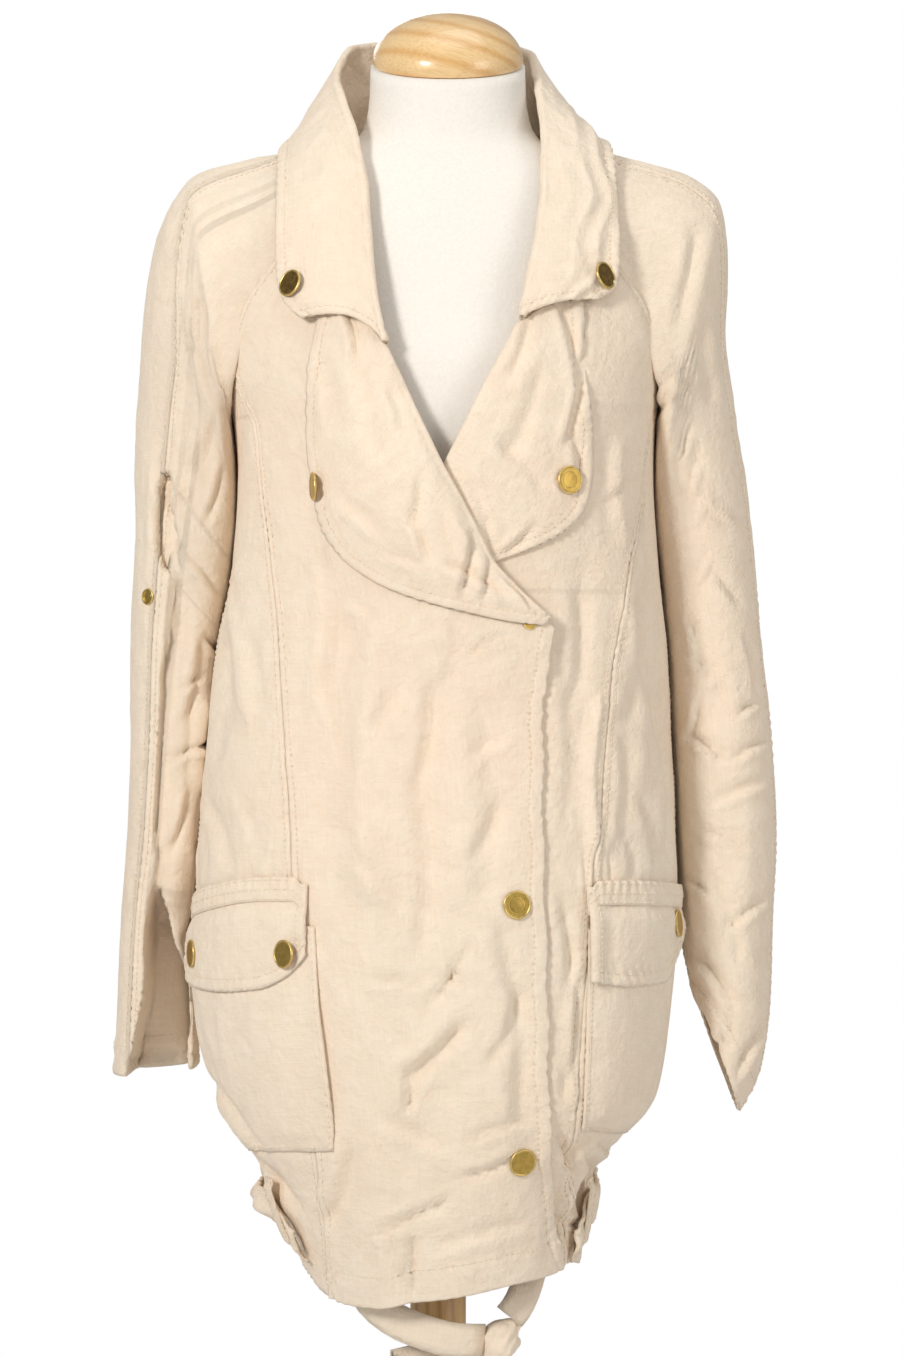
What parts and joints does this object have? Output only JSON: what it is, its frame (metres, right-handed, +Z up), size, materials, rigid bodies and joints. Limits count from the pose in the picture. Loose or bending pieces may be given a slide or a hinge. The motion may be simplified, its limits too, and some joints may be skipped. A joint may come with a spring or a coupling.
{
  "type": "blouson jacket on dress form",
  "caption": "Pale blouson jacket with raglan sleeves, asymmetric snap front, flap pockets and tie belt, worn by a limbless jersey dress form with a wooden neck cap and pole stand.",
  "frame": {"origin": "on the floor under the middle of the part's box", "axes": "+Z up, the wearer faces -Y, +X is the wearer's left"},
  "size_m": [0.4811, 0.35, 1.5138],
  "materials": {
    "linen": "crinkled plain weave",
    "jersey": "smooth fine knit",
    "cap_wood": "varnished",
    "pole_wood": "satin",
    "antique_brass": "aged, satin"
  },
  "bodies": {
    "root": {"back": "linen", "belt_back": "linen", "belt_drop_left": "linen", "belt_drop_right": "linen", "belt_knot": "linen", "belt_loop_left": "linen", "belt_loop_right": "linen", "belt_tail_left": "linen", "belt_tail_right": "linen", "collar": "linen", "flap_left": "linen", "flap_right": "linen", "form_body": "jersey", "front_left": "linen", "front_right": "linen", "gathered_band_left": "linen", "gathered_band_right": "linen", "lapel_left": "linen", "lapel_right": "linen", "neck_cap": "cap_wood", "pole": "pole_wood", "pouch_left": "linen", "pouch_right": "linen", "side_front_left": "linen", "side_front_right": "linen", "sleeve_back_left": "linen", "sleeve_back_right": "linen", "sleeve_front_left": "linen", "sleeve_front_right": "linen", "snap_collar_left": "antique_brass", "snap_collar_right": "antique_brass", "snap_front_lower": "antique_brass", "snap_front_upper": "antique_brass", "snap_lapel_left": "antique_brass", "snap_lapel_right": "antique_brass", "snap_lapel_tip": "antique_brass", "snap_pocket_left_side": "antique_brass", "snap_pocket_right_front": "antique_brass", "snap_pocket_right_side": "antique_brass", "snap_sleeve_right": "antique_brass", "stand_base": "pole_wood"}
  },
  "joints": []
}
